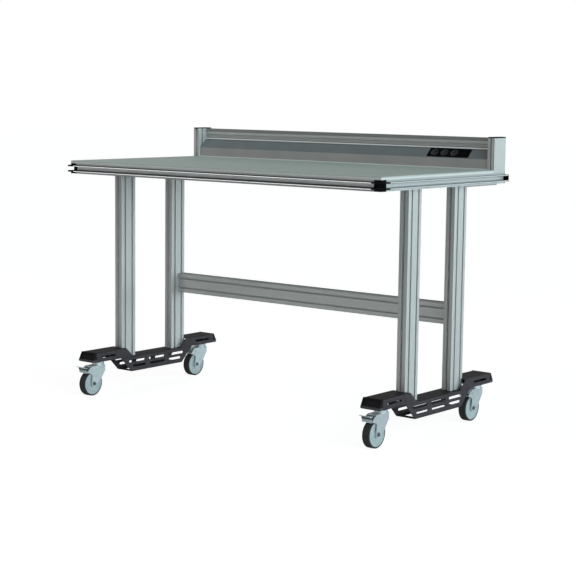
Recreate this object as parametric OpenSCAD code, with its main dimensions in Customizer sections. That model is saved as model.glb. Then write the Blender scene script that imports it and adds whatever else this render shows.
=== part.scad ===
// Mobile work table: a board in a slotted aluminium frame on two wheeled steel feet.
// X runs along the table, Y from front to back and Z up. The origin is on the floor,
// under the middle of the whole table, its front fins included.

/* [Table] */
// Width of the work surface
table_w = 1500; // [1300:20:1800]
// Depth from the front edge to the back of the posts
table_d = 800; // [780:10:860]
// Height of the work surface above the floor
work_h = 944; // [820:2:1100]
// Thickness of the board inside the frame
board_t = 19; // [18:0.5:20]
// Thickness of the board's lip that lies on top of the frame
lip_t = 11; // [10:0.5:12]
// Distance between the centres of a front and a rear leg
leg_pitch = 296; // [280:4:320]
// Height of the stretcher's middle above the floor
stretcher_h = 416; // [360:1:520]

/* [Frame rail] */
// Height of the frame rail
rail_h = 40; // [40:1:42]
// Width of the frame rail without its fins
rail_w = 30; // [30:1:34]
// How far the rail's fins stand out past the edge of the board
fin_out = 17; // [12:1:20]
// Thickness of each fin
fin_t = 5; // [4:0.5:6]

/* [Back panel] */
// Height of the posts' caps above the work surface
post_rise = 122; // [116:1:134]
// Height of the rail between the posts
back_rail_h = 44; // [40:1:46]
// Height of the cable duct's upright front
duct_front_h = 38.5; // [34:0.5:42]
// Length of the socket block
socket_w = 186; // [150:1:240]

/* [Feet] */
// Width of the folded steel foot
foot_w = 82; // [80:1:86]
// Thickness of the foot's sheet steel
foot_t = 3; // [2.5:0.5:3]
// Distance between the two castors of a foot
castor_pitch = 615; // [600:1:640]

/* [Castors] */
// Diameter of the wheels
wheel_d = 100; // [96:1:104]
// Width of the wheels
wheel_w = 30; // [26:1:32]
// Distance from the swivel axis back to the axle
trail = 41.5; // [39:0.5:43]
// How far the brake pedal reaches from the swivel axis
pedal_reach = 103; // [99:0.5:106]

/* [Hidden] */
$fn = 48;

// Clearances
run_gap = 0.05;   // around a pin that turns in its bore
seat_gap = 0.15;  // around a plug in its pocket
slack = 0.3;      // between parts that pass each other
eps = 0.01;
far = 400;

// Colours as they look on the object
alu = [0.74, 0.77, 0.77];
board_colour = [0.53, 0.57, 0.56];
black = [0.11, 0.11, 0.12];
foot_colour = [0.2, 0.2, 0.22];
zinc = [0.68, 0.75, 0.76];
duct_dark = [0.35, 0.37, 0.38];
duct_light = [0.45, 0.46, 0.46];

// M8 screws, their slots and the nuts in the slots
bolt_d = 8;
bolt_hole_d = 8.6;
core_d = bolt_d + 2 * run_gap;
head_d = 13;
head_h = 5;
socket_af = 5;
nut_af = 13;
nut_h = 6.5;
slot_open = 8.2;

// Leg, stretcher, bearer and beam sections: one grid cell is 40 mm square
cell = 40;
cell_lip = 4.5;
cell_under = 20;
cell_slot = 12.3;
cell_floor = head_d + 0.6;
cell_round = 4;

// Slots of the 30 mm wide sections
slim_lip = 2.5;
slim_under = 16.5;
slim_slot = 9;
slim_floor = head_d + 0.4;
wall = 2.5;

// Main heights
castor_rise = 38;
castor_h = wheel_d + castor_rise;
belly_deep = 61.5;
foot_low_z = castor_h - belly_deep;
foot_rise = 38;
foot_top_z = castor_h + foot_rise;
rail_z = work_h - lip_t - rail_h;
board_z = work_h - board_t;
rail_top_z = rail_z + rail_h;
frame_screw_z = board_z - cell / 2;
rail_slot_v = frame_screw_z - rail_z;

// Main places across and along the table
edge_x = table_w / 2;
rail_x = edge_x - rail_w;
leg_x = rail_x - cell / 2;
mid_y = fin_out / 2;
front_y = mid_y - table_d / 2;
back_y = mid_y + table_d / 2;
rail_y = front_y + rail_w;
leg_w = 2 * cell;
front_leg_y = mid_y - leg_pitch / 2;
rear_leg_y = mid_y + leg_pitch / 2;
foot_y = mid_y;
castor_shift = 4;

// Rail section: slot towards the table, fins outwards
fin_low_v = 7;
fin_high_v = rail_h - 12;
groove_deep = 4.5;
groove_u = rail_w - groove_deep;
chamber_u = slim_slot + wall;
chamber_w = groove_u - wall - chamber_u;
chamber_h = rail_h - 2 * wall;

// Posts
post_d = 2 * cell;
post_cap_t = 4;
post_h = post_rise - post_cap_t + lip_t;
post_y = back_y - post_d / 2;
post_core_x = 1;
post_core_u = rail_w / 2 + post_core_x;
post_seat = wall;

// Back rail
back_rail_d = 30;
back_rail_y = back_y - 5 - back_rail_d;
back_rail_z = rail_top_z + post_h - back_rail_h;
back_band_h = 10;
back_band_in = 3;
back_lip_h = 4;
back_lip_out = 2;

// Cable duct and its slanted cover
board_back_y = back_y - post_d - 1;
duct_y = back_y - post_d + 7;
duct_lip = duct_y - board_back_y - slack;
duct_t = 2;
duct_foot_h = 3;
duct_top_z = work_h + duct_front_h;
duct_rear_y = back_y - 5;
cover_t = 2;
cover_y0 = duct_y;
cover_z0 = duct_top_z;
cover_y1 = back_rail_y - 1;
cover_z1 = back_rail_z - 0.5;
cover_run = cover_y1 - cover_y0;
cover_climb = cover_z1 - cover_z0;
cover_len = sqrt(cover_run * cover_run + cover_climb * cover_climb);
cover_tilt = atan2(cover_climb, cover_run);

// Socket block on the cover
socket_x = 0.295 * table_w + socket_w / 2;
socket_margin = 3;
socket_face_t = 1.5;
socket_deep = 20;
socket_pitch = 44;
socket_count = 3;
socket_r = 16;
socket_well = 14;

// Bearers and rear beam under the back of the board
bearer_y0 = rear_leg_y + cell;
bearer_y1 = back_y - 5;
beam_y = bearer_y1 - cell / 2;

// Stretcher
stretcher_y = rear_leg_y + cell / 2;

// Foot outline, from its middle
foot_half = 350;
step_top = 181;
step_low = step_top - foot_rise;
belly_top = 212;
belly_low = belly_top - (castor_h - foot_low_z);
fold_r = 6;
plate_in = foot_w / 2 - foot_t;
lip_in = 14;
lip_end = belly_top + 20;
tie_w = 20;
flange_w = 15;
end_slot_y = 280;
end_slot_l = 86;
end_slot_h = 8;
slot_h = 10;
low_slot_pitch = 106;
low_slot_long = 88;
low_slot_short = 73;
low_slot_rise = 22;
high_slot_pitch = 117;
high_slot_shift = 4;
high_slot_l = 92;
high_slot_rise = 43;

// Foot end caps
cap_top = 5;
cap_out = 22;
cap_rim = 4.5;
cap_sunk = 4;
cap_foot_h = 5;
cap_face_h = foot_rise - cap_foot_h;
cap_tilt = atan2(cap_out - cap_top, cap_face_h);

// Castor, from its swivel axis
plate_t = 4;
plate_w = 68;
plate_l = 76;
plate_hole_x = 25;
plate_hole_y = 28;
plate_z = castor_h;
sunk_d = 15;
sunk_h = 3.5;
race_z = castor_h - 7;
crown_z = castor_h - 20;
crown_t = 3;
fork_t = 2.5;
fork_in = wheel_w / 2 + 2.5;
fork_out = fork_in + fork_t;
head_r = 24;
king_d = 12;
axle_d = 8;
axle_end_r = 12.5;
wheel_r = wheel_d / 2;
hub_r = wheel_r - 6;
boss_r = 12;
boss_half = fork_in - slack;
nose_y = -77;
nose_drop = 42;
nose_z = castor_h - nose_drop;
pin_y = -52;
pin_drop = 30;
pin_z = castor_h - pin_drop;
pin_r = 3;
arm_half = fork_in - 3;
pedal_half = fork_out + 1;
pedal_t = 2.5;
pedal_tip_drop = 17.5;
pedal_tip_z = castor_h - pedal_tip_drop;
pedal_low_drop = 41;
pedal_low_z = castor_h - pedal_low_drop;
shoe_gap = 3.6;

castor_ys = [for (side = [-1, 1]) mid_y + castor_shift + side * castor_pitch / 2];

// Shared plane shapes

module rounded(w, d, r) {
    square([w - 2 * r, d], center = true);
    square([w, d - 2 * r], center = true);
    for (x = [-1, 1], y = [-1, 1])
        translate([x * (w / 2 - r), y * (d / 2 - r)]) circle(r);
}

// A slot cut down from y = 0, with lips that hold a nut or a screw head
module slot_shape(lip, under, deep, floor_w) {
    square([slot_open, 3 * lip], center = true);
    polygon([
        [-under / 2, -lip], [under / 2, -lip],
        [under / 2, -deep + (under - floor_w) / 2], [floor_w / 2, -deep],
        [-floor_w / 2, -deep], [-under / 2, -deep + (under - floor_w) / 2]
    ]);
}

module cell_slot_shape() {
    slot_shape(cell_lip, cell_under, cell_slot, cell_floor);
}

module slim_slot_shape() {
    slot_shape(slim_lip, slim_under, slim_slot, slim_floor);
}

// 40 mm square section with a slot in every side
module square_section() {
    difference() {
        rounded(cell, cell, cell_round);
        circle(d = core_d);
        for (turn = [0 : 90 : 270])
            rotate(turn) translate([0, cell / 2]) cell_slot_shape();
    }
}

// 40 x 80 mm section: six slots, two cores and a chamber between them
module double_section() {
    difference() {
        rounded(cell, 2 * cell, cell_round);
        rounded(cell - 6, 15, 1.5);
        for (y = [-cell / 2, cell / 2]) {
            translate([0, y]) circle(d = core_d);
            translate([cell / 2, y]) rotate(-90) cell_slot_shape();
            translate([-cell / 2, y]) rotate(90) cell_slot_shape();
        }
        translate([0, cell]) cell_slot_shape();
        translate([0, -cell]) rotate(180) cell_slot_shape();
    }
}

// Frame rail: x outwards from its inner face, y up from its underside
module rail_section() {
    difference() {
        union() {
            square([rail_w, rail_h]);
            for (v = [fin_low_v, fin_high_v]) {
                translate([groove_u, v]) square([groove_deep + fin_out - fin_t / 2, fin_t]);
                translate([rail_w + fin_out - fin_t / 2, v + fin_t / 2]) circle(d = fin_t);
            }
        }
        translate([groove_u, fin_low_v + fin_t])
            square([far, fin_high_v - fin_low_v - fin_t]);
        translate([0, rail_slot_v]) rotate(90) slim_slot_shape();
        translate([chamber_u + chamber_w / 2, rail_h / 2]) rounded(chamber_w, chamber_h, 1.5);
        translate([wall + 3, rail_slot_v + slim_under / 2 + wall + 6]) rounded(6, 11, 1);
    }
}

// Post section: two slots towards the table, one to the front, plain outside
module post_section() {
    difference() {
        rounded(rail_w, post_d, 1);
        translate([1, 0]) rounded(rail_w - 8, 16, 1.5);
        for (y = [-cell / 2, cell / 2]) {
            translate([-rail_w / 2, y]) rotate(90) slim_slot_shape();
            translate([post_core_x, y]) circle(d = core_d);
        }
        translate([0, -post_d / 2]) rotate(180) slim_slot_shape();
    }
}

// Back rail: y to the back from its front face, z up; drawn as [y, z]
module back_rail_section() {
    mid = back_rail_h / 2;
    difference() {
        union() {
            square([back_rail_d, back_rail_h]);
            translate([-back_lip_out, 0]) square([back_lip_out + 1, back_lip_h]);
        }
        translate([-1, back_rail_h - back_band_h])
            square([back_band_in + 1, back_band_h - 2]);
        translate([0, mid]) rotate(90) slim_slot_shape();
        translate([back_rail_d / 2, mid]) circle(d = core_d);
        for (z = [wall + 4, back_rail_h - wall - 4])
            translate([back_rail_d / 2 + 1, z]) rounded(17, 8, 1.5);
    }
}

// Lays a plane shape in the YZ plane and extrudes it along X, centred
module along_x(length) {
    rotate([90, 0, 90]) translate([0, 0, -length / 2]) linear_extrude(length) children();
}

// Extrudes a plane shape drawn as [x, z] along Y, from y0
module along_y(y0, length) {
    translate([0, y0 + length, 0]) rotate([90, 0, 0]) linear_extrude(length) children();
}

// Puts a part made for the right end on the right or the left end
module on_side(side) {
    mirror([side < 0 ? 1 : 0, 0, 0]) children();
}

// Fasteners

// Socket head screw: head below z = 0, shank up to z = length
module cap_screw(length) {
    difference() {
        union() {
            cylinder(d = bolt_d, h = length);
            translate([0, 0, -head_h]) cylinder(d = head_d, h = head_h);
        }
        translate([0, 0, -head_h - eps])
            cylinder(d = socket_af / cos(30), h = head_h / 2, $fn = 6);
    }
}

// The same screw lying along +X from x = 0
module cap_screw_x(length) {
    rotate([0, 90, 0]) cap_screw(length);
}

// Nut block in the slot of a slim section, slot open towards -X
module slot_nut() {
    nut_t = slim_slot - slim_lip - 1.2;
    nut_w = slim_under - 1.5;
    difference() {
        translate([slim_lip + eps, -nut_w / 2, -nut_w / 2])
            cube([nut_t, nut_w, nut_w]);
        rotate([0, 90, 0]) cylinder(d = core_d, h = far, center = true);
    }
}

module hex_nut() {
    difference() {
        cylinder(d = nut_af / cos(30), h = nut_h, $fn = 6);
        translate([0, 0, -1]) cylinder(d = core_d, h = nut_h + 2);
    }
}

// Board

module edge_cutter(length, r) {
    along_x(length) difference() {
        translate([-1, -r]) square(r + 1);
        translate([r, -r]) circle(r);
    }
}

module table_top() {
    color(board_colour) difference() {
        union() {
            translate([-edge_x, front_y, rail_top_z])
                cube([table_w, board_back_y - front_y, lip_t]);
            translate([-rail_x + slack, rail_y + slack, board_z])
                cube([2 * (rail_x - slack), board_back_y - rail_y - slack, board_t]);
        }
        translate([0, front_y, work_h]) edge_cutter(table_w + 2, 3);
        for (side = [-1, 1])
            on_side(side) translate([edge_x, 0, work_h]) rotate(90)
                edge_cutter(table_d + 2, 3);
        for (p = bracket_spots)
            translate([p[0], p[1], board_z - 1]) rotate(p[2])
                translate([bracket_hole, 0, 0]) cylinder(d = wood_d, h = wood_l);
    }
}

// Angle brackets that hold the board to the rails: each spot is a point on a rail's
// inner face and the direction that the bracket's flat leg takes from there
bracket_w = 25;
bracket_t = 3;
bracket_leg = 26;
bracket_hole = 16;
wood_d = 4;
wood_l = 14;
bracket_reach = 62;
bracket_side_y = [front_leg_y - leg_w / 2 - bracket_reach, mid_y];
bracket_front_x = 0.27 * table_w;
bracket_spots = [
    for (side = [-1, 1], y = bracket_side_y) [side * rail_x, y, side > 0 ? 180 : 0],
    for (side = [-1, 1]) [side * bracket_front_x, rail_y, 90]
];

module top_bracket() {
    drop = board_z - rail_z - 2;
    difference() {
        union() {
            translate([0, -bracket_w / 2, -bracket_t]) cube([bracket_leg, bracket_w, bracket_t]);
            translate([0, -bracket_w / 2, -drop]) cube([bracket_t, bracket_w, drop]);
        }
        translate([bracket_hole, 0, -bracket_t - 1]) cylinder(d = 4.6, h = bracket_t + 2);
        translate([-1, 0, frame_screw_z - board_z]) rotate([0, 90, 0])
            cylinder(d = bolt_hole_d, h = bracket_t + 2);
    }
}

module top_brackets() {
    color(zinc) for (p = bracket_spots)
        translate([p[0], p[1], board_z]) rotate(p[2]) top_bracket();
}

module top_screws() {
    color(zinc) for (p = bracket_spots)
        translate([p[0], p[1], board_z - bracket_t]) rotate(p[2]) translate([bracket_hole, 0, 0]) {
            translate([0, 0, -2.5]) cylinder(d = 9, h = 2.5);
            cylinder(d = wood_d, h = wood_l + bracket_t - 2);
        }
}

// Frame rails

module front_rail() {
    color(alu) translate([0, rail_y, rail_z]) mirror([0, 1, 0])
        along_x(2 * rail_x) rail_section();
}

module side_rail() {
    difference() {
        translate([rail_x, 0, rail_z])
            along_y(rail_y, table_d - rail_w - rail_cap_t) rail_section();
        for (y = [-cell / 2, cell / 2])
            translate([rail_x + post_core_u, post_y + y, rail_z - 1]) {
                cylinder(d = bolt_hole_d, h = rail_h + 2);
                cylinder(d = head_d + 2 * slack, h = rail_h + 1 - post_seat);
            }
    }
}

module left_rail() { color(alu) on_side(-1) side_rail(); }
module right_rail() { color(alu) on_side(1) side_rail(); }

rail_cap_t = 3;
plug_l = 22;

// Plug that fits the long chamber of a rail: x and z as in rail_section
module chamber_plug(length) {
    along_y(0, length) translate([chamber_u + chamber_w / 2, rail_h / 2])
        rounded(chamber_w - 2 * seat_gap, chamber_h - 2 * seat_gap, 1.5);
}

module rail_cap() {
    translate([rail_x, back_y - rail_cap_t, rail_z]) {
        along_y(0, rail_cap_t) union() {
            square([rail_w, rail_h]);
            translate([rail_w - 1, fin_low_v - 0.5])
                square([fin_out + 1, fin_high_v - fin_low_v + fin_t + 1]);
        }
        translate([0, -8, 0]) chamber_plug(8);
    }
}

module left_rail_cap() { color(black) on_side(-1) rail_cap(); }
module right_rail_cap() { color(black) on_side(1) rail_cap(); }

// Corner block between the front rail and a side rail
module corner_block() {
    layers = [
        [0, fin_low_v], [fin_low_v + fin_t, fin_high_v - fin_low_v - fin_t],
        [fin_high_v + fin_t, rail_h - fin_high_v - fin_t]
    ];
    bevel = fin_out;
    translate([rail_x, rail_y, rail_z]) {
        for (i = [0, 2]) translate([0, -rail_w, layers[i][0]])
            cube([rail_w, rail_w, layers[i][1]]);
        translate([0, 0, layers[1][0]]) linear_extrude(layers[1][1]) polygon([
            [0, 0], [0, -rail_w], [rail_w - bevel, -rail_w], [rail_w, -rail_w + bevel], [rail_w, 0]
        ]);
        for (v = [fin_low_v, fin_high_v]) translate([0, 0, v]) linear_extrude(fin_t) polygon([
            [0, 0], [0, -rail_w - fin_out], [rail_w, -rail_w - fin_out],
            [rail_w + bevel, -rail_w], [rail_w + fin_out, 0]
        ]);
        chamber_plug(plug_l);
        rotate(90) mirror([1, 0, 0]) chamber_plug(plug_l);
    }
}

module front_left_corner() { color(black) on_side(-1) corner_block(); }
module front_right_corner() { color(black) on_side(1) corner_block(); }

// Legs, with cross holes for the screws into the rail and the stretcher

module leg(y, holes) {
    difference() {
        translate([leg_x, y, castor_h]) linear_extrude(board_z - castor_h) double_section();
        for (h = holes)
            translate([leg_x, y + h[0], h[1]]) rotate([0, 90, 0])
                cylinder(d = bolt_hole_d, h = cell - 1, center = true);
    }
}

rail_holes = [[-cell / 2, frame_screw_z], [cell / 2, frame_screw_z]];
stretcher_zs = [stretcher_h - cell / 2, stretcher_h + cell / 2];
stretcher_holes = [for (z = stretcher_zs) [cell / 2, z]];

module front_left_leg() { color(alu) on_side(-1) leg(front_leg_y, rail_holes); }
module front_right_leg() { color(alu) on_side(1) leg(front_leg_y, rail_holes); }
module rear_left_leg() { color(alu) on_side(-1) leg(rear_leg_y, concat(rail_holes, stretcher_holes)); }
module rear_right_leg() { color(alu) on_side(1) leg(rear_leg_y, concat(rail_holes, stretcher_holes)); }

module stretcher() {
    color(alu) translate([0, stretcher_y, stretcher_h])
        along_x(2 * (leg_x - cell / 2)) double_section();
}

// Bearers and beam under the back of the board

bearer_len = bearer_y1 - bearer_y0;
bearer_screw_ys = [bearer_y0 + 30, bearer_y0 + bearer_len - cell - 30];

module bearer() {
    difference() {
        translate([leg_x, 0, frame_screw_z]) along_y(bearer_y0, bearer_len) square_section();
        for (y = concat(bearer_screw_ys, [beam_y]))
            translate([leg_x, y, frame_screw_z]) rotate([0, 90, 0])
                cylinder(d = bolt_hole_d, h = cell - 1, center = true);
    }
}

module left_bearer() { color(alu) on_side(-1) bearer(); }
module right_bearer() { color(alu) on_side(1) bearer(); }

module rear_beam() {
    color(alu) translate([0, beam_y, frame_screw_z])
        along_x(2 * (leg_x - cell / 2)) square_section();
}

// Screws and nuts

web_in = leg_x - cell / 2 + cell_slot;
web_out = leg_x + cell / 2 - cell_slot;
nut_grip = slim_lip + 5;
frame_screw_ys = [
    for (y0 = [front_leg_y, rear_leg_y], y = [-cell / 2, cell / 2]) y0 + y,
    for (y = bearer_screw_ys) y
];

module frame_screws() {
    color(zinc) {
        for (side = [-1, 1], y = frame_screw_ys)
            on_side(side) translate([web_in, y, frame_screw_z])
                cap_screw_x(rail_x + nut_grip - web_in);
        for (p = bracket_spots)
            translate([p[0], p[1], frame_screw_z]) rotate(p[2])
                translate([bracket_t, 0, 0]) mirror([1, 0, 0]) cap_screw_x(bracket_t + nut_grip);
    }
}

module slot_nuts() {
    color(zinc) {
        for (side = [-1, 1], y = frame_screw_ys)
            on_side(side) translate([rail_x, y, frame_screw_z]) slot_nut();
        for (p = bracket_spots)
            translate([p[0], p[1], frame_screw_z]) rotate(p[2]) mirror([1, 0, 0]) slot_nut();
    }
}

post_screw_l = post_seat + 30;
foot_screw_l = foot_t + 30;
back_head_t = 5;

module end_screws() {
    color(zinc) for (side = [-1, 1]) on_side(side) {
        for (z = stretcher_zs)
            translate([web_out, stretcher_y, z]) mirror([1, 0, 0])
                cap_screw_x(web_out - (leg_x - cell / 2) + 30);
        translate([web_out, beam_y, frame_screw_z]) mirror([1, 0, 0])
            cap_screw_x(web_out - (leg_x - cell / 2) + 30);
        for (y = [-cell / 2, cell / 2])
            translate([rail_x + post_core_u, post_y + y, rail_top_z - post_seat])
                cap_screw(post_screw_l);
        for (y0 = [front_leg_y, rear_leg_y], y = [-cell / 2, cell / 2])
            translate([leg_x, y0 + y, castor_h - foot_t]) cap_screw(foot_screw_l);
        translate([rail_x + slim_lip + eps, back_rail_y + back_rail_d / 2, back_rail_z + back_rail_h / 2])
            rotate([0, -90, 0]) {
                translate([0, 0, -back_head_t]) cylinder(d = head_d, h = back_head_t);
                cylinder(d = bolt_d, h = slim_lip + 30);
            }
    }
}

// Posts and the rail between them

module post() {
    translate([rail_x + rail_w / 2, post_y, rail_top_z]) linear_extrude(post_h) post_section();
}

module left_post() { color(alu) on_side(-1) post(); }
module right_post() { color(alu) on_side(1) post(); }

module post_cap() {
    translate([rail_x + rail_w / 2, post_y, rail_top_z + post_h]) difference() {
        union() {
            linear_extrude(post_cap_t) rounded(rail_w, post_d, 1);
            translate([1, 0, -6]) linear_extrude(6 + eps)
                rounded(rail_w - 8 - 2 * seat_gap, 16 - 2 * seat_gap, 1.3);
        }
        difference() {
            translate([0, 0, post_cap_t - 1]) linear_extrude(2)
                square([rail_w + 2, post_d + 2], center = true);
            translate([0, 0, post_cap_t - 2]) linear_extrude(4) rounded(rail_w - 2, post_d - 2, 1);
        }
    }
}

module left_post_cap() { color(black) on_side(-1) post_cap(); }
module right_post_cap() { color(black) on_side(1) post_cap(); }

module back_rail() {
    color(alu) translate([0, back_rail_y, back_rail_z]) along_x(2 * rail_x) back_rail_section();
}

// Cable duct: a trough that stands on the rear beam, open to the top

duct_len = 2 * (rail_x - slack);
duct_rear_top = back_rail_z - 0.5;

module duct_section() {
    base = board_z;
    polygon([
        [duct_rear_y, base], [duct_rear_y, duct_rear_top], [duct_rear_y - duct_t, duct_rear_top],
        [duct_rear_y - duct_t, base + duct_t], [duct_y + duct_t, base + duct_t],
        [duct_y + duct_t, duct_top_z - 1], [duct_y, duct_top_z - 1],
        [duct_y, work_h + duct_foot_h], [duct_y - duct_lip, work_h + duct_foot_h],
        [duct_y - duct_lip, work_h], [duct_y, work_h], [duct_y, base]
    ]);
}

module cable_duct() {
    color(duct_light) along_x(duct_len) duct_section();
}

// Carries a shape drawn on the slanted cover: x along the table, y up the slope, z out
module on_cover() {
    translate([0, cover_y0, cover_z0]) rotate([cover_tilt, 0, 0]) children();
}

// Underside of the slanted cover above the point y
function cover_under(y) =
    cover_z0 + (y - cover_y0) * tan(cover_tilt) - cover_t / cos(cover_tilt);

module cover_section() {
    hook = 8;
    hook_y = duct_y + duct_t + seat_gap;
    top = [cover_y1, cover_z1];
    polygon([
        [cover_y0, cover_z0], top, top + cover_t * [sin(cover_tilt), -cos(cover_tilt)],
        [hook_y + cover_t, cover_under(hook_y + cover_t)], [hook_y + cover_t, cover_z0 - hook],
        [hook_y, cover_z0 - hook], [hook_y, cover_z0 - 1], [cover_y0, cover_z0 - 1]
    ]);
}

module duct_cover() {
    color(duct_dark) difference() {
        along_x(duct_len) cover_section();
        on_cover() translate([socket_x - socket_w / 2 + 3, 5, -far / 2])
            cube([socket_w - 6, cover_len - 10, far]);
    }
}

socket_spots = [for (i = [0 : socket_count - 1]) -socket_w / 2 + 28 + i * socket_pitch];

module socket_block() {
    high = cover_len - 2 * socket_margin;
    inner = cover_len - 10 - 2 * seat_gap;
    color(black) on_cover() translate([socket_x, cover_len / 2, 0]) difference() {
        union() {
            linear_extrude(socket_face_t) rounded(socket_w, high, 1.5);
            translate([0, 0, -socket_deep]) linear_extrude(socket_deep + eps)
                square([socket_w - 6 - 2 * seat_gap, inner], center = true);
        }
        for (x = socket_spots) translate([x, 0, socket_face_t - socket_well])
            cylinder(r = socket_r + seat_gap, h = far);
    }
}

module socket_inserts() {
    color(black) on_cover() translate([socket_x, cover_len / 2, 0])
        for (x = socket_spots) translate([x, 0, socket_face_t - socket_well]) difference() {
            cylinder(r = socket_r, h = socket_well + 0.5);
            translate([0, 0, 4]) cylinder(r = socket_r - 1.5, h = far);
            for (turn = [0, 180]) rotate(45 + turn) translate([9.5, 0, 1]) cylinder(d = 5, h = far);
        }
}

// Feet

module foot_outline() {
    z0 = castor_h;
    polygon([
        [-foot_half, z0], [-foot_half, foot_top_z], [-step_top, foot_top_z], [-step_low, z0],
        [step_low, z0], [step_top, foot_top_z], [foot_half, foot_top_z], [foot_half, z0],
        [belly_top, z0], [belly_low, foot_low_z], [-belly_low, foot_low_z], [-belly_top, z0]
    ]);
}

// Folded channel, open below: top at y = 0
module channel(h) {
    difference() {
        folded(foot_w, h + fold_r, fold_r);
        translate([0, -foot_t]) folded(foot_w - 2 * foot_t, h + fold_r, fold_r - foot_t);
    }
}

module folded(w, h, r) {
    translate([-w / 2 + r, -h]) square([w - 2 * r, h]);
    translate([-w / 2, -h]) square([w, h - r]);
    for (side = [-1, 1]) translate([side * (w / 2 - r), -r]) circle(r);
}

// Slots in both side plates: [middle, length, height above the floor, width]
end_slots = [for (side = [-1, 1]) [side * end_slot_y, end_slot_l, castor_h + foot_rise / 2, end_slot_h]];
low_row = [for (i = [-1 : 1])
    [i * low_slot_pitch, i == 0 ? low_slot_long : low_slot_short, foot_low_z + low_slot_rise, slot_h]];
high_row = [for (i = [-1 : 1])
    [i * high_slot_pitch - high_slot_shift, high_slot_l, foot_low_z + high_slot_rise, slot_h]];

module plate_slot(s) {
    translate([s[0], s[2]]) rounded(s[1], s[3], s[3] / 2 - eps);
}

module foot() {
    mid = leg_pitch + leg_w;
    translate([leg_x, foot_y, 0]) difference() {
        union() {
            intersection() {
                union() {
                    for (side = [-1, 1])
                        along_y(side > 0 ? step_low : -foot_half, foot_half - step_low)
                            translate([0, foot_top_z]) channel(foot_top_z - foot_low_z);
                    along_y(-mid / 2, mid)
                        translate([0, castor_h]) channel(castor_h - foot_low_z);
                }
                along_x(foot_w + 2) foot_outline();
            }
            for (side = [-1, 1]) {
                translate([-plate_in - eps, side * (belly_low - tie_w / 2) - tie_w / 2, foot_low_z])
                    cube([2 * plate_in + 2 * eps, tie_w, foot_t]);
                translate([side * (plate_in - flange_w / 2), 0, foot_low_z + foot_t / 2])
                    cube([flange_w + 2 * eps, 2 * belly_low, foot_t], center = true);
                for (edge = [-1, 1])
                    translate([edge * (plate_in + lip_in) / 2, side * (foot_half + lip_end) / 2,
                        castor_h + plate_t + foot_t / 2])
                        cube([plate_in - lip_in + 2 * eps, foot_half - lip_end, foot_t], center = true);
            }
        }
        for (side = [-1, 1])
            mirror([0, side < 0 ? 1 : 0, 0]) translate([-cell / 2 - 0.5, 0, castor_h])
                cube([cell + 1, leg_pitch / 2 + cell + 0.5, far]);
        along_x(foot_w + 2) for (s = concat(end_slots, low_row, high_row)) plate_slot(s);
        for (row = [-1, 1], y = [-cell / 2, cell / 2])
            translate([0, row * leg_pitch / 2 + y, castor_h - foot_t - 1])
                cylinder(d = bolt_hole_d, h = foot_t + 2);
        for (y = castor_ys, dx = [-1, 1], dy = [-1, 1])
            translate([dx * plate_hole_x, y - foot_y + dy * plate_hole_y, castor_h])
                cylinder(d = bolt_hole_d, h = plate_t + foot_t + 1);
    }
}

module left_foot() { color(foot_colour) on_side(-1) foot(); }
module right_foot() { color(foot_colour) on_side(1) foot(); }

// End cap of a foot, drawn for the rear end: its slanted face carries a sunk panel
module foot_cap_outline() {
    polygon([
        [foot_half, castor_h], [foot_half, foot_top_z], [foot_half + cap_top, foot_top_z],
        [foot_half + cap_out, foot_top_z - cap_face_h], [foot_half + cap_out - 4, castor_h]
    ]);
}

module foot_cap(side) {
    plug_w = foot_w - 2 * foot_t - 2 * seat_gap;
    plug_z = castor_h + plate_t + foot_t + nut_h + 4;
    plug_top = foot_top_z - foot_t - seat_gap;
    plug_h = plug_top - plug_z;
    color(black) translate([leg_x, foot_y, 0]) mirror([0, side < 0 ? 1 : 0, 0]) difference() {
        union() {
            along_x(foot_w) foot_cap_outline();
            translate([0, 0, plug_top]) along_y(foot_half - 14, 15)
                folded(plug_w, plug_h, fold_r - foot_t - seat_gap);
        }
        translate([0, foot_half + (cap_top + cap_out) / 2, foot_top_z - cap_face_h / 2])
            rotate([cap_tilt - 90, 0, 0]) translate([0, 0, -cap_sunk]) linear_extrude(far)
                rounded(foot_w - 2 * cap_rim, cap_face_h / cos(cap_tilt) - 2 * cap_rim, 4);
        translate([-plug_w / 2 + 3, foot_half - 15, plug_z + 3]) cube([plug_w - 6, 13, plug_h - 6]);
        for (edge = [-1, 1])
            translate([edge * foot_w / 2, 0, foot_top_z]) rotate([90, 0, 0])
                translate([0, 0, -far]) linear_extrude(far) difference() {
                    square(4, center = true);
                    translate([-edge * 2, -2]) circle(2);
                }
    }
}

module front_left_foot_cap() { on_side(-1) foot_cap(-1); }
module rear_left_foot_cap() { on_side(-1) foot_cap(1); }
module front_right_foot_cap() { on_side(1) foot_cap(-1); }
module rear_right_foot_cap() { on_side(1) foot_cap(1); }

// Castors, drawn around their swivel axis

module at_castor(side, row) {
    translate([side * leg_x, castor_ys[row], 0]) children();
}

module castor_plate() {
    color(zinc) difference() {
        union() {
            translate([0, 0, plate_z]) linear_extrude(plate_t) rounded(plate_w, plate_l, 8);
            translate([0, 0, race_z + slack]) cylinder(r = head_r - 1, h = plate_z - race_z);
        }
        translate([0, 0, race_z]) cylinder(d = king_d + 2 * run_gap, h = 20);
        for (dx = [-1, 1], dy = [-1, 1])
            translate([dx * plate_hole_x, dy * plate_hole_y, plate_z]) sunk_screw(plate_t + 1, slack);
    }
}

// Countersunk screw, flush with z = 0, or its hole with some room around it
module sunk_screw(length, room) {
    translate([0, 0, -eps]) cylinder(d = bolt_d + 2 * room, h = length + eps);
    translate([0, 0, -eps]) cylinder(d1 = sunk_d + 2 * room, d2 = bolt_d + 2 * room, h = sunk_h);
}

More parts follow.
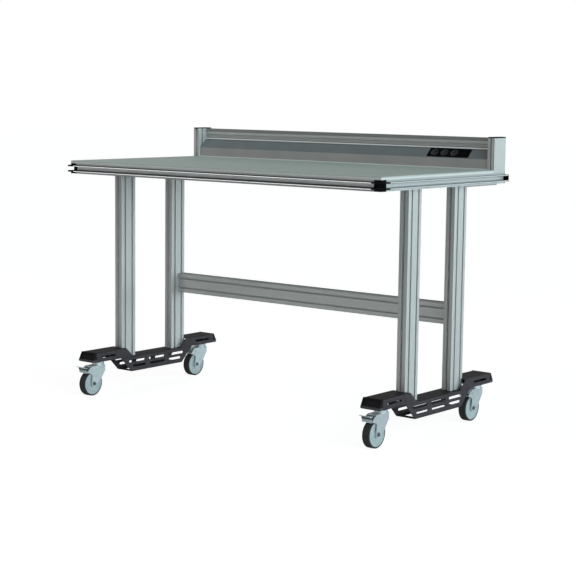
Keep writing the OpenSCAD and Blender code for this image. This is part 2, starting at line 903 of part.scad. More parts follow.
module king_pin() {
    top = plate_z + plate_t;
    translate([0, 0, crown_z - 4 - slack]) cylinder(d = 20, h = 4);
    translate([0, 0, crown_z - 1]) cylinder(d = king_d, h = top - crown_z + 1);
    translate([0, 0, top]) cylinder(d = 18, h = 2.5);
}

module king_pins() {
    color(zinc) for (side = [-1, 1], row = [0, 1]) at_castor(side, row) king_pin();
}

// Side plate of the fork as [y, z]; its rear edge is the tangent to the round axle end
module fork_outline() {
    knee = [-3, wheel_r + 14];
    axle = [-trail, wheel_r];
    reach = norm(knee - axle);
    lean = atan2(knee[1] - axle[1], knee[0] - axle[0]) - acos(axle_end_r / reach);
    touch = axle + axle_end_r * [cos(lean), sin(lean)];
    translate(axle) circle(axle_end_r);
    polygon([
        axle, touch, knee, [head_r - 3, crown_z - 20], [head_r - 3, crown_z + crown_t],
        [-trail - 10, crown_z + crown_t], [nose_y + 11, nose_z + 17], [nose_y, nose_z + 3],
        [nose_y + 2, nose_z], [nose_y + 17, nose_z - 3], [nose_y + 28, nose_z - 11],
        axle - [axle_end_r, 0]
    ]);
}

module fork() {
    color(zinc) difference() {
        union() {
            for (side = [-1, 1])
                translate([side * (fork_in + fork_t / 2), 0, 0]) along_x(fork_t) fork_outline();
            translate([-fork_in - eps, -trail - 10, crown_z])
                cube([2 * (fork_in + eps), trail + 10 + head_r - 3, crown_t]);
            translate([0, 0, crown_z]) cylinder(r = head_r, h = race_z - crown_z);
            translate([0, nose_y + 3.5, nose_z + 4]) rotate([0, 90, 0])
                cylinder(r = 3.5, h = 2 * fork_in + 2 * eps, center = true);
        }
        translate([0, 0, crown_z - 1]) cylinder(d = king_d + 2 * run_gap, h = 20);
        translate([0, -trail, wheel_r]) rotate([0, 90, 0])
            cylinder(d = axle_d + 2 * run_gap, h = far, center = true);
        translate([0, pin_y, pin_z]) rotate([0, 90, 0])
            cylinder(r = pin_r + run_gap, h = far, center = true);
    }
}

module axle() {
    color(zinc) translate([0, -trail, wheel_r]) rotate([0, 90, 0]) difference() {
        union() {
            cylinder(d = axle_d, h = 2 * fork_out, center = true);
            translate([0, 0, fork_out]) cylinder(d = 14, h = 4);
            translate([0, 0, -fork_out - 6.5]) cylinder(d = nut_af / cos(30), h = 6.5, $fn = 6);
        }
        translate([0, 0, fork_out + 1.5]) cylinder(d = 5 / cos(30), h = 5, $fn = 6);
    }
}

// Half section of the hub: [radius, distance from the wheel's middle]
module hub() {
    half = wheel_w / 2;
    color(zinc) translate([0, -trail, wheel_r]) rotate([0, 90, 0]) rotate_extrude($fn = 96)
        polygon([
            [axle_d / 2 + run_gap, -boss_half], [boss_r, -boss_half], [boss_r, -half + 2],
            [boss_r + 4, -half + 3], [hub_r - 9, -half + 3], [hub_r - 7, -half + 0.6], [hub_r, -half + 0.6],
            [hub_r, half - 0.6], [hub_r - 7, half - 0.6], [hub_r - 9, half - 3],
            [boss_r + 4, half - 3], [boss_r, half - 2], [boss_r, boss_half],
            [axle_d / 2 + run_gap, boss_half]
        ]);
}

module tyre() {
    half = wheel_w / 2;
    round = 3;
    color(black) translate([0, -trail, wheel_r]) rotate([0, 90, 0]) rotate_extrude($fn = 96)
        difference() {
            translate([hub_r, -half]) square([wheel_r - hub_r, wheel_w]);
            for (edge = [-1, 1]) difference() {
                translate([wheel_r - round, edge > 0 ? half - round : -half - 1]) square(round + 1);
                translate([wheel_r - round, edge * (half - round)]) circle(round);
            }
        }
}

// Brake pedal of a front castor: two arms on a pin, a shoe over the tyre, and a wide
// tread in front of the fork with a front wall and a small lip under it
module pedal() {
    tip = [-pedal_reach, pedal_tip_z];
    root = [nose_y + 14, pin_z + 3];
    slope = (tip[1] - root[1]) / (root[0] - tip[0]);
    neck_y = nose_y - 2.5;
    wall_y = nose_y - 11.5;
    low_y = wall_y + 6;
    function under(y) = root[1] + (root[0] - y) * slope;
    color(zinc) union() {
        translate([0, pin_y, pin_z]) rotate([0, 90, 0])
            cylinder(r = pin_r, h = 2 * fork_out, center = true);
        for (side = [-1, 1]) translate([side * (arm_half - pedal_t / 2), 0, 0])
            along_x(pedal_t) {
                translate([pin_y, pin_z]) circle(6);
                polygon([
                    [pin_y, pin_z - 6], [pin_y, pin_z + 6], root + [0, pedal_t],
                    [neck_y - 1, under(neck_y - 1) + pedal_t], [neck_y - 1, under(neck_y - 1) - 2],
                    root + [-4, -6]
                ]);
            }
        along_x(2 * arm_half) polygon([
            root, root + [0, pedal_t], [neck_y - 1, under(neck_y - 1) + pedal_t],
            [neck_y - 1, under(neck_y - 1)]
        ]);
        intersection() {
            along_x(2 * pedal_half) polygon([
                [neck_y, under(neck_y)], [neck_y, under(neck_y) + pedal_t], tip + [2, pedal_t],
                tip + [0, pedal_t / 2], tip + [2, 0], [wall_y, under(wall_y)],
                [low_y, pedal_low_z + pedal_t], [low_y - 3.5, pedal_low_z + pedal_t],
                [low_y - 3.5, pedal_low_z], [low_y + pedal_t, pedal_low_z],
                [wall_y + pedal_t, under(wall_y + pedal_t)]
            ]);
            translate([0, -pedal_reach / 2, pedal_low_z - 1]) linear_extrude(far)
                rounded(2 * pedal_half, pedal_reach, 5);
        }
        along_x(2 * arm_half - 1) difference() {
            translate([pin_y - 16, pin_z - 14]) square([12, 12]);
            translate([-trail, wheel_r]) circle(wheel_r + shoe_gap, $fn = 96);
        }
    }
}

module front_left_pedal() { at_castor(-1, 0) pedal(); }
module front_right_pedal() { at_castor(1, 0) pedal(); }

module front_left_castor_plate() { at_castor(-1, 0) castor_plate(); }
module front_left_fork() { at_castor(-1, 0) fork(); }
module front_left_hub() { at_castor(-1, 0) hub(); }
module front_left_tyre() { at_castor(-1, 0) tyre(); }
module front_left_axle() { at_castor(-1, 0) axle(); }
module rear_left_castor_plate() { at_castor(-1, 1) castor_plate(); }
module rear_left_fork() { at_castor(-1, 1) fork(); }
module rear_left_hub() { at_castor(-1, 1) hub(); }
module rear_left_tyre() { at_castor(-1, 1) tyre(); }
module rear_left_axle() { at_castor(-1, 1) axle(); }
module front_right_castor_plate() { at_castor(1, 0) castor_plate(); }
module front_right_fork() { at_castor(1, 0) fork(); }
module front_right_hub() { at_castor(1, 0) hub(); }
module front_right_tyre() { at_castor(1, 0) tyre(); }
module front_right_axle() { at_castor(1, 0) axle(); }
module rear_right_castor_plate() { at_castor(1, 1) castor_plate(); }
module rear_right_fork() { at_castor(1, 1) fork(); }
module rear_right_hub() { at_castor(1, 1) hub(); }
module rear_right_tyre() { at_castor(1, 1) tyre(); }
module rear_right_axle() { at_castor(1, 1) axle(); }

module castor_bolts() {
    color(zinc) for (side = [-1, 1], row = [0, 1]) at_castor(side, row)
        for (dx = [-1, 1], dy = [-1, 1])
            translate([dx * plate_hole_x, dy * plate_hole_y, 0]) {
                translate([0, 0, plate_z]) sunk_screw(plate_t + foot_t + nut_h + 2, 0);
                translate([0, 0, plate_z + plate_t + foot_t]) hex_nut();
            }
}

table_top();
top_brackets();
top_screws();
front_rail();
left_rail();
right_rail();
front_left_corner();
front_right_corner();
left_rail_cap();
right_rail_cap();
left_bearer();
right_bearer();
rear_beam();
front_left_leg();
rear_left_leg();
front_right_leg();
rear_right_leg();
stretcher();
end_screws();
frame_screws();
slot_nuts();
left_post();
right_post();
left_post_cap();
right_post_cap();
back_rail();
cable_duct();
duct_cover();
socket_block();
socket_inserts();
left_foot();
right_foot();
front_left_foot_cap();
rear_left_foot_cap();
front_right_foot_cap();
rear_right_foot_cap();
front_left_castor_plate();
front_left_fork();
front_left_hub();
front_left_tyre();
front_left_axle();
rear_left_castor_plate();
rear_left_fork();
rear_left_hub();
rear_left_tyre();
rear_left_axle();
front_right_castor_plate();
front_right_fork();
front_right_hub();
front_right_tyre();
front_right_axle();
rear_right_castor_plate();
rear_right_fork();
rear_right_hub();
rear_right_tyre();
rear_right_axle();
castor_bolts();
king_pins();
front_left_pedal();
front_right_pedal();
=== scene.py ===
import math

import bpy
from mathutils import Matrix, Vector

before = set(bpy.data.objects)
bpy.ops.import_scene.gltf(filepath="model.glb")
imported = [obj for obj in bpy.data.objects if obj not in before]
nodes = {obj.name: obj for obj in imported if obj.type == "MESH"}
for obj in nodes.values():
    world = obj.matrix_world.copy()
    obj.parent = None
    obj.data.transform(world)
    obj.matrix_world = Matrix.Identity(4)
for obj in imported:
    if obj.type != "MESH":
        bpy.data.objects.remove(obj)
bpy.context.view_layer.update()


# sRGB hex to the linear values that colour sockets take
def linearColour(hexText):
    parts = [int(hexText[i:i + 2], 16) / 255 for i in (0, 2, 4)]
    return [p / 12.92 if p <= 0.04045 else ((p + 0.055) / 1.055) ** 2.4 for p in parts] + [1.0]


# adds a node: inputs holds fixed values and the sockets to link from
def addNode(tree, kind, inputs=None, **settings):
    node = tree.nodes.new(kind)
    for name, value in settings.items():
        setattr(node, name, value)
    for name, value in (inputs or {}).items():
        if isinstance(value, bpy.types.NodeSocket):
            tree.links.new(value, node.inputs[name])
        else:
            node.inputs[name].default_value = value
    return node


# the emptied node tree of a material or a world
def emptyTree(owner):
    owner.use_nodes = True
    owner.node_tree.nodes.clear()
    return owner.node_tree


# Camera, at the photograph's place, in metres and degrees
cameraView = {"place": (3.76247, -4.64767, 1.22316), "azimuth": 38.677, "down": 7.204,
              "roll": 0.721, "lensMm": 97.04, "sensorMm": 36, "clipEnd": 200}


def placeCamera(view):
    az, down, roll = (math.radians(view[k]) for k in ("azimuth", "down", "roll"))
    ahead = Vector((-math.sin(az) * math.cos(down), math.cos(az) * math.cos(down), -math.sin(down)))
    level = Vector((math.cos(az), math.sin(az), 0))
    up = level.cross(ahead)
    right = level * math.cos(roll) + up * math.sin(roll)
    up = up * math.cos(roll) - level * math.sin(roll)
    camera = bpy.data.objects.new("camera", bpy.data.cameras.new("camera"))
    bpy.context.scene.collection.objects.link(camera)
    camera.data.lens = view["lensMm"]
    camera.data.sensor_width = view["sensorMm"]
    camera.data.clip_end = view["clipEnd"]
    turn = Matrix((right, up, -ahead)).transposed().to_4x4()
    camera.matrix_world = Matrix.Translation(view["place"]) @ turn
    bpy.context.scene.camera = camera


# one for what the camera sees, nought for what lights the table or mirrors in it
def seenByCamera(tree, ray):
    return addNode(tree, "ShaderNodeMath", {
        0: ray.outputs["Is Camera Ray"], 1: ray.outputs["Is Transmission Ray"]
    }, operation="MAXIMUM").outputs[0]


# Studio: a broad cool light low behind the right end and a warmer, dimmer fill, as on the
# photograph's faces. Both fade towards the zenith, so that the tops stay quiet.
studio = {
    "backdrop": "FFFFFF",
    "lobeAim": (0.95, 0.0, -0.1), "lobeTint": "E1F6FE", "lobe": 4.05,
    "lobeEdge": 0.3, "lobeFull": 0.97,  # cosines of the angle off the aim
    "fillTint": "FFF9F4", "fill": 0.46, "zenithFade": 0.95,
    "lamps": {
        "keyLight": {"place": (4.6, -0.9, 1.3), "aim": (0, 0, 0.6), "size": (2.4, 2.4),
                     "watts": 8, "tint": "E1F6FE"},
        "rimLight": {"place": (-2.6, -1.7, 3.4), "aim": (0, -0.3, 0.9), "size": (2.6, 0.35),
                     "watts": 18, "tint": "FFFBF8"}
    }
}


def lightStudio(look):
    world = bpy.data.worlds.new("studio")
    bpy.context.scene.world = world
    tree = emptyTree(world)
    way = addNode(tree, "ShaderNodeTexCoord").outputs["Generated"]
    aim = Vector(look["lobeAim"]).normalized()
    facing = addNode(tree, "ShaderNodeVectorMath", {0: way, 1: aim}, operation="DOT_PRODUCT")
    lobe = addNode(tree, "ShaderNodeMapRange", {
        "Value": facing.outputs["Value"], "From Min": look["lobeEdge"], "From Max": look["lobeFull"],
        "To Min": 0.0, "To Max": look["lobe"]
    }, interpolation_type="SMOOTHSTEP")
    height = addNode(tree, "ShaderNodeSeparateXYZ", {0: way}).outputs["Z"]
    fade = addNode(tree, "ShaderNodeMapRange", {
        "Value": height, "From Min": 0.0, "From Max": 1.0, "To Min": 1.0, "To Max": 1 - look["zenithFade"]
    })
    lobeLight = addNode(tree, "ShaderNodeBackground", {
        "Color": linearColour(look["lobeTint"]), "Strength": lobe.outputs[0]
    })
    fillLight = addNode(tree, "ShaderNodeBackground", {
        "Color": linearColour(look["fillTint"]), "Strength": look["fill"]
    })
    both = addNode(tree, "ShaderNodeAddShader", {0: lobeLight.outputs[0], 1: fillLight.outputs[0]})
    nothing = addNode(tree, "ShaderNodeBackground", {"Strength": 0.0})
    soft = addNode(tree, "ShaderNodeMixShader", {
        0: fade.outputs[0], 1: nothing.outputs[0], 2: both.outputs[0]
    })
    white = addNode(tree, "ShaderNodeBackground", {"Color": linearColour(look["backdrop"]), "Strength": 1.0})
    seen = seenByCamera(tree, addNode(tree, "ShaderNodeLightPath"))
    mix = addNode(tree, "ShaderNodeMixShader", {0: seen, 1: soft.outputs[0], 2: white.outputs[0]})
    addNode(tree, "ShaderNodeOutputWorld", {"Surface": mix.outputs[0]})

    for name, lamp in look["lamps"].items():
        light = bpy.data.objects.new(name, bpy.data.lights.new(name, "AREA"))
        bpy.context.scene.collection.objects.link(light)
        light.data.shape = "RECTANGLE"
        light.data.size, light.data.size_y = lamp["size"]
        light.data.energy = lamp["watts"]
        light.data.color = linearColour(lamp["tint"])[:3]
        light.location = lamp["place"]
        light.rotation_euler = (Vector(lamp["aim"]) - light.location).to_track_quat("-Z", "Y").to_euler()


# Plain pale floor, in metres: the camera sees a soft shadow on white, the table sees a pale matt floor.
# A white card lies on it in front of the table, between two distances, and shows in reflections only.
floorLook = {"halfWidth": 30, "colour": "F2F2F2", "glow": 0.88, "shadowShare": 0.32,
             "cardNear": -0.75, "cardFar": -2.4, "cardGlow": 1.8}


def layFloor(look):
    half = look["halfWidth"]
    mesh = bpy.data.meshes.new("floor")
    mesh.from_pydata([(-half, -half, 0), (half, -half, 0), (half, half, 0), (-half, half, 0)],
                     [], [(0, 1, 2, 3)])
    floor = bpy.data.objects.new("floor", mesh)
    bpy.context.scene.collection.objects.link(floor)
    material = bpy.data.materials.new("paleFloor")
    tree = emptyTree(material)
    ray = addNode(tree, "ShaderNodeLightPath")
    matt = addNode(tree, "ShaderNodeBsdfDiffuse", {"Color": linearColour(look["colour"])})
    shaded = addNode(tree, "ShaderNodeBsdfDiffuse", {"Color": [look["shadowShare"]] * 3 + [1]})
    glow = addNode(tree, "ShaderNodeEmission", {"Strength": look["glow"]})
    both = addNode(tree, "ShaderNodeAddShader", {0: shaded.outputs[0], 1: glow.outputs[0]})
    plain = addNode(tree, "ShaderNodeMixShader", {
        0: seenByCamera(tree, ray), 1: matt.outputs[0], 2: both.outputs[0]
    })
    coords = addNode(tree, "ShaderNodeTexCoord").outputs["Object"]
    ahead = addNode(tree, "ShaderNodeSeparateXYZ", {0: coords}).outputs["Y"]
    near, far = (addNode(tree, "ShaderNodeMath", {
        0: ahead, 1: look[edge]
    }, operation="LESS_THAN").outputs[0] for edge in ("cardNear", "cardFar"))
    onCard = addNode(tree, "ShaderNodeMath", {0: near, 1: far}, operation="SUBTRACT")
    mirrored = addNode(tree, "ShaderNodeMath", {
        0: onCard.outputs[0], 1: ray.outputs["Is Glossy Ray"]
    }, operation="MULTIPLY")
    card = addNode(tree, "ShaderNodeEmission", {"Strength": look["cardGlow"]})
    laid = addNode(tree, "ShaderNodeMixShader", {
        0: mirrored.outputs[0], 1: plain.outputs[0], 2: card.outputs[0]
    })
    addNode(tree, "ShaderNodeOutputMaterial", {"Surface": laid.outputs[0]})
    mesh.materials.append(material)


placeCamera(cameraView)
lightStudio(studio)
layFloor(floorLook)
bpy.context.scene.view_settings.view_transform = "Standard"
print("camera, light and floor are set")


# an empty material with its shader; its patterns are in metres on Object coordinates
def newFinish(name, sockets):
    material = bpy.data.materials.new(name)
    tree = emptyTree(material)
    shader = addNode(tree, "ShaderNodeBsdfPrincipled", sockets)
    addNode(tree, "ShaderNodeOutputMaterial", {"Surface": shader.outputs[0]})
    coords = addNode(tree, "ShaderNodeTexCoord").outputs["Object"]
    return material, tree, shader, coords


noiseSpread = (0.3, 0.7)  # most of a noise texture's values lie between these


# the finish's two colours mixed by a pattern, stretched over the values that it has
def tintBy(tree, shader, pattern, look, spread=noiseSpread):
    stretched = addNode(tree, "ShaderNodeMapRange", {
        "Value": pattern, "From Min": spread[0], "From Max": spread[1]
    })
    blend = addNode(tree, "ShaderNodeMix", {
        0: stretched.outputs[0], 6: linearColour(look["deep"]), 7: linearColour(look["pale"])
    }, data_type="RGBA")
    tree.links.new(blend.outputs[2], shader.inputs["Base Color"])


# a bump as high as the finish says, in millimetres
def bumpBy(tree, shader, pattern, look):
    bump = addNode(tree, "ShaderNodeBump", {
        "Height": pattern, "Distance": look["bumpMm"] / 1000, "Strength": look["bumpStrength"]
    })
    tree.links.new(bump.outputs[0], shader.inputs["Normal"])


# Painted light and shade on single faces and edges, which give the profiles the fine light and dark lines
# that they have
# in the photograph: painted shade in grooves, under fins and ledges and on tops and front faces, painted
# highlights on fin ends, slots and lips. The table top's side and front edges have their own tone. Each is
# [axis, from, to, colour] in
# millimetres: up from the underside of the piece, or inwards from its outer side. A later one lies over an
# earlier one.
# A piece's twins share its tones.
tonesAndPaintedLight = {
    "front_rail": [
        ["Z", 21.5, 27.8, "ECEEEE"],  # the groove between the fins, upper part: painted light
        ["Z", 18, 21.5, "DEE0E0"],    # the groove, middle: painted light
        ["Z", -0.5, 6.8, "A6A8A6"],   # the face under the lower fin: painted shade
        ["Z", 11.6, 14.5, "404242"],  # the foot of the groove: painted shade
        ["Z", 33.2, 34.5, "505252"],  # the foot of the face over the upper fin: painted shade
        ["Y", -3, 3.1, "FEFFFF"],     # the rounded ends of the fins: painted highlight
        ["Z", 31, 33.2, "545656"],    # the shoulder of the upper fin: painted shade
        ["Z", 10, 11.9, "545656"],    # the shoulder of the lower fin: painted shade
        ["Y", 3.5, 16.7, "202222"]    # the flanks of the fins: painted shade
    ],
    "left_rail": [
        ["Z", -0.5, 7.2, "DADEDE"],   # the face under the lower fin: painted light
        ["Z", 15.5, 27.8, "D2D6D6"],  # the groove between the fins, upper part: painted light
        ["Z", 11.6, 15.5, "A0A4A4"],  # the foot of the groove: painted shade
        ["Z", 33.2, 40.5, "B4B8B8"],  # the face over the upper fin: painted shade
        ["X", -3, 1, "D8DCDC"],       # the rounded ends of the fins: painted highlight
        ["X", 1, 16.7, "343838"]      # the flanks of the fins: painted shade
    ],
    "front_left_leg": [["Y", -0.5, 1, "9EA09E"]],  # the front face: painted shade
    "rear_left_leg": [["Y", 79, 80.5, "9EA09E"]],  # the front face: painted shade
    "stretcher": [
        ["Y", 39, 40.5, "AFB1AF"],    # the front face: painted shade
        ["Z", 79.9, 94, "6E7070"]     # the top face: painted shade
    ],
    "back_rail": [
        ["Z", 31.5, 46, "9A9C9A"],    # the recess and the top edge: painted shade
        ["Z", 32, 35.5, "868886"],    # the foot of the recess: painted shade
        ["Z", 26, 28.5, "CCCECC"],    # over the slot: painted light
        ["Z", 22.8, 26, "FCFEFE"],    # the slot, upper half: painted light
        ["Z", 19, 22.8, "DADCDA"],    # the slot, lower half: painted light
        ["Z", 11, 19, "A6A8A6"],      # under the slot: painted shade
        ["Z", 4.5, 8, "7E807E"],      # the foot of the face: painted shade
        ["Z", -10, 4.5, "FCFEFE"]     # the lip over the duct: painted highlight
    ],
    "left_post": [
        ["X", 19.5, 28, "B5B7B5"],    # the front face beside the slot, inner strip: painted shade
        ["X", 11, 18.8, "FEFFFF"],    # the front slot: painted light
        ["X", 0.3, 6, "A8AAA8"]       # the front face, outer strip: painted shade
    ],
    "cable_duct": [["Z", -10, 22.4, "DDE1E0"]],    # the foot on the board: painted light
    "duct_cover": [["Z", 40, 55, "5E6668"]],       # the upper edge: painted shade under the back rail
    "table_top": [
        ["X", -10, 0.3, "D8DCD8"],    # the side edges
        ["Y", -10, 0.3, "D8DCD8"],    # the front edge
        ["Z", 14.8, 18.4, "B8BCB8"]   # the edges under their rim: painted shade
    ],
    "front_left_foot_cap": [["Z", -10, 9.5, "4A4A4E"]],  # the lower rim: painted light
    "left_foot": [
        ["Z", 99, 100.5, "1E1D22"],   # the tops of the raised ends: painted shade
        ["Z", 60.8, 62.3, "1E1D22"]   # the top of the low middle: painted shade
    ],
    "front_left_pedal": [["Z", 11.9, 18.4, "3C4446"]]  # the front wall's upper part: painted shadow of the tread
}
bandEdge = 0.0002  # a band's edge fades over this length to each side, in metres


# how far from the table's middle or the floor a band's edge is, in metres
def placeOn(piece, axis, distanceMm):
    reach = [abs(corner["XYZ".index(axis)]) for corner in nodes[piece].bound_box]
    if axis == "Z":
        return min(reach) + distanceMm / 1000
    return max(reach) - distanceMm / 1000


# how far from the middle or the floor the shaded point is
def fromMiddle(tree, coords, axis):
    along = addNode(tree, "ShaderNodeSeparateXYZ", {0: coords}).outputs[axis]
    return addNode(tree, "ShaderNodeMath", {0: along}, operation="ABSOLUTE").outputs[0]


# lays the bands over the base colour: painted light and shade, and the table top's own edge tones
def addTonesAndPaintedLight(tree, shader, coords, piece):
    for axis, start, end, colour in tonesAndPaintedLight.get(piece, ()):
        place = fromMiddle(tree, coords, axis)
        edges = sorted(placeOn(piece, axis, distance) for distance in (start, end))
        steps = [addNode(tree, "ShaderNodeMapRange", {
            "Value": place, "From Min": edge - bandEdge, "From Max": edge + bandEdge
        }).outputs[0] for edge in edges]
        inside = addNode(tree, "ShaderNodeMath", {0: steps[0], 1: steps[1]}, operation="SUBTRACT")
        plain = shader.inputs["Base Color"].links[0].from_socket
        bandMix = addNode(tree, "ShaderNodeMix", {
            0: inside.outputs[0], 6: plain, 7: linearColour(colour)
        }, data_type="RGBA")
        tree.links.new(bandMix.outputs[2], shader.inputs["Base Color"])


# Extruded aluminium, etched and clear anodised: silky, with faint die lines along the bar.
# Real die lines are about 0.1 mm apart; they are drawn wider so that they show.
anodised = {"pale": "C9CBC9", "deep": "C2C4C2", "roughness": 0.42, "metallic": 0.3,
            "lineMm": 0.9, "lineLengthMm": 500, "lineDetail": 3, "lineRoughness": 0.6,
            "bumpMm": 0.01, "bumpStrength": 0.02}
# The back rail: the same finish, greyer and darker
anodisedGrey = dict(anodised, pale="B7B5B3", deep="AEACAA")
# Hands polish the rounded ends of the front fins, up to this depth from the outer side
polished = {"axis": "Y", "depthMm": 3.1, "roughness": 0.2, "metallic": 0.85}


def anodisedAluminium(name, along, look=anodised, piece=None, shine=None):
    material, tree, shader, coords = newFinish(name, {
        "Roughness": look["roughness"], "Metallic": look["metallic"]
    })
    scale = [1000 / look["lineMm"]] * 3
    scale["XYZ".index(along)] = 1000 / look["lineLengthMm"]
    stretch = addNode(tree, "ShaderNodeMapping", {"Vector": coords, "Scale": scale})
    lines = addNode(tree, "ShaderNodeTexNoise", {
        "Vector": stretch.outputs[0], "Scale": 1.0, "Detail": look["lineDetail"],
        "Roughness": look["lineRoughness"]
    })
    tintBy(tree, shader, lines.outputs[0], look)
    addTonesAndPaintedLight(tree, shader, coords, piece)
    bumpBy(tree, shader, lines.outputs[0], look)
    if shine:
        place = fromMiddle(tree, coords, shine["axis"])
        edge = placeOn(piece, shine["axis"], shine["depthMm"])
        for socket in ("Roughness", "Metallic"):
            value = addNode(tree, "ShaderNodeMapRange", {
                "Value": place, "From Min": edge, "From Max": edge + 2 * bandEdge,
                "To Min": look[socket.lower()], "To Max": shine[socket.lower()]
            })
            tree.links.new(value.outputs[0], shader.inputs[socket])
    return material


# Melamine laminate on chipboard: a dense matt print with a fine pearl texture
laminate = {"pale": "CDDCD4", "deep": "C6D5CD", "roughness": 0.48,
            "speck": {"sizeMm": 1.2, "detail": 2}, "cloud": {"sizeMm": 160, "detail": 1},
            "spread": (0.7, 1.3),  # most of speck and cloud together
            "pearl": {"sizeMm": 0.8, "detail": 1}, "bumpMm": 0.02, "bumpStrength": 1.0}


def melamineBoard(name, look, piece):
    material, tree, shader, coords = newFinish(name, {"Roughness": look["roughness"]})
    speck, cloud, pearl = (addNode(tree, "ShaderNodeTexNoise", {
        "Vector": coords, "Scale": 1000 / look[part]["sizeMm"], "Detail": look[part]["detail"]
    }).outputs[0] for part in ("speck", "cloud", "pearl"))
    both = addNode(tree, "ShaderNodeMath", {0: speck, 1: cloud}, operation="ADD")
    tintBy(tree, shader, both.outputs[0], look, look["spread"])
    addTonesAndPaintedLight(tree, shader, coords, piece)
    bumpBy(tree, shader, pearl, look)
    return material


# Glass-filled polyamide, moulded black: a fine spark-eroded grain that breaks the shine
polyamide = {"pale": "09090B", "deep": "050507", "roughness": 0.7, "metallic": 0.0, "specular": 0.08,
             "cloud": {"sizeMm": 0.9, "detail": 2}, "grain": {"sizeMm": 0.9, "detail": 2},
             "bumpMm": 0.05, "bumpStrength": 0.5}
# The foot caps' polyamide, a little greyer and smoother
footCap = dict(polyamide, pale="121216", deep="0E0E12", roughness=0.6, specular=0.2)

# Polycarbonate socket inserts, dark grey, made lighter to paint the reflections in their wells: smoother
# than the block around them
insertPlastic = {"pale": "505052", "deep": "48484A", "roughness": 0.4, "metallic": 0.0, "specular": 0.35,
                 "cloud": {"sizeMm": 0.6, "detail": 2}, "grain": {"sizeMm": 0.6, "detail": 2},
                 "bumpMm": 0.01, "bumpStrength": 0.5}

# Sheet steel in black powder coat: a soft orange peel with a low sheen
powder = {"pale": "3E3A3E", "deep": "383438", "roughness": 0.5, "metallic": 0.0, "specular": 0.22,
          "cloud": {"sizeMm": 60, "detail": 2}, "grain": {"sizeMm": 2.2, "detail": 2},
          "bumpMm": 0.04, "bumpStrength": 0.6}

# Pressed steel, bright zinc plated: cool blue-white metal with a cloudy lustre
zincPlate = {"pale": "D3DCDD", "deep": "C3CFD1", "roughness": 0.4, "metallic": 0.7, "specular": 0.5,
             "cloud": {"sizeMm": 14, "detail": 4}, "grain": {"sizeMm": 0.7, "detail": 1},
             "bumpMm": 0.01, "bumpStrength": 0.5}
# The axle bolts are a darker grey, which paints the shade of the dark recesses at their heads, and the
# castors' fixing bolts and nuts are blackened
axlePaintedShade = dict(zincPlate, pale="767E80", deep="667072")
blackened = dict(zincPlate, pale="2E2E30", deep="262628")

# Polyamide wheel centre, light grey: moulded, with a faint flow cloud
wheelCentre = {"pale": "AEBBBB", "deep": "A4B2B2", "roughness": 0.42, "metallic": 0.0, "specular": 0.5,
               "cloud": {"sizeMm": 18, "detail": 2}, "grain": {"sizeMm": 0.8, "detail": 1},
               "bumpMm": 0.02, "bumpStrength": 0.5}

# Thermoplastic rubber tread, black: dull, a little dusty where it rolls
rubber = {"pale": "2F2F2D", "deep": "222221", "roughness": 0.72, "metallic": 0.0, "specular": 0.5,
          "cloud": {"sizeMm": 9, "detail": 4}, "grain": {"sizeMm": 0.9, "detail": 1},
          "bumpMm": 0.04, "bumpStrength": 0.6}

# Coil-coated aluminium sheet of the duct: even satin paint, bluer and darker on the sloping cover
satinPaint = {"pale": "A6A4A2", "deep": "9E9C9A", "roughness": 0.5, "metallic": 0.0, "specular": 0.5,
              "cloud": {"sizeMm": 90, "detail": 2}, "grain": {"sizeMm": 1.5, "detail": 1},
              "bumpMm": 0.02, "bumpStrength": 0.5}
darkPaint = dict(satinPaint, pale="80888A", deep="788082")


# Moulded, coated and plated pieces: a cloud tints the finish and a fine grain raises it
def cloudedFinish(name, look, piece=None):
    material, tree, shader, coords = newFinish(name, {
        "Roughness": look["roughness"], "Metallic": look["metallic"], "Specular IOR Level": look["specular"]
    })
    cloud, grain = (addNode(tree, "ShaderNodeTexNoise", {
        "Vector": coords, "Scale": 1000 / look[part]["sizeMm"], "Detail": look[part]["detail"]
    }).outputs[0] for part in ("cloud", "grain"))
    tintBy(tree, shader, cloud, look)
    addTonesAndPaintedLight(tree, shader, coords, piece)
    bumpBy(tree, shader, grain, look)
    return material


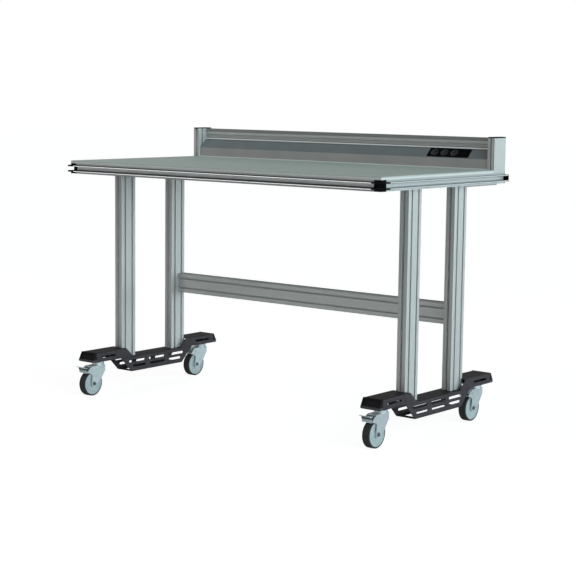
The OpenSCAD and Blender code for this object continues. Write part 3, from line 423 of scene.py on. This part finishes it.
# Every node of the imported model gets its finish, by its name or else by how its name ends
def dressNodes():
    alongX, alongY = (anodisedAluminium("anodisedAluminium" + way, way) for way in "XY")
    post = anodisedAluminium("postAluminium", "Z", anodised, "left_post")
    sideRail = anodisedAluminium("sideRailAluminium", "Y", anodised, "left_rail")
    frontLeg = anodisedAluminium("frontLegAluminium", "Z", anodised, "front_left_leg")
    rearLeg = anodisedAluminium("rearLegAluminium", "Z", anodised, "rear_left_leg")
    black = cloudedFinish("mouldedPolyamide", polyamide)
    steel = cloudedFinish("powderCoat", powder, "left_foot")
    zinc = cloudedFinish("brightZinc", zincPlate)
    blackSteel = cloudedFinish("blackenedSteel", blackened)
    finishes = {
        "table_top": melamineBoard("melamineBoard", laminate, "table_top"),
        "left_rail": sideRail, "right_rail": sideRail,
        "front_rail": anodisedAluminium("frontRailAluminium", "X", anodised, "front_rail", polished),
        "back_rail": anodisedAluminium("backRailAluminium", "X", anodisedGrey, "back_rail"),
        "stretcher": anodisedAluminium("stretcherAluminium", "X", anodised, "stretcher"),
        "rear_beam": alongX, "left_bearer": alongY, "right_bearer": alongY,
        "left_post": post, "right_post": post,
        "front_left_leg": frontLeg, "front_right_leg": frontLeg,
        "rear_left_leg": rearLeg, "rear_right_leg": rearLeg,
        "cable_duct": cloudedFinish("satinDuct", satinPaint, "cable_duct"),
        "duct_cover": cloudedFinish("darkDuct", darkPaint, "duct_cover"),
        "socket_block": black,
        "socket_inserts": cloudedFinish("insertPolycarbonate", insertPlastic),
        "left_foot": steel, "right_foot": steel,
        "castor_bolts": blackSteel, "castor_nuts": blackSteel
    }
    endings = {
        "_axle": cloudedFinish("axleSteelPaintedShade", axlePaintedShade),
        "_hub": cloudedFinish("greyPolyamide", wheelCentre),
        "_pedal": cloudedFinish("zincPedal", zincPlate, "front_left_pedal"),
        "_tyre": cloudedFinish("treadRubber", rubber),
        "_corner": black,
        "foot_cap": cloudedFinish("footCapPolyamide", footCap, "front_left_foot_cap"),
        "_cap": black
    }
    for name, node in nodes.items():
        byEnding = (material for ending, material in endings.items() if name.endswith(ending))
        finish = finishes.get(name) or next(byEnding, zinc)
        for slot in node.material_slots:
            slot.material = finish


dressNodes()
print("the nodes have their finishes:", len(nodes))
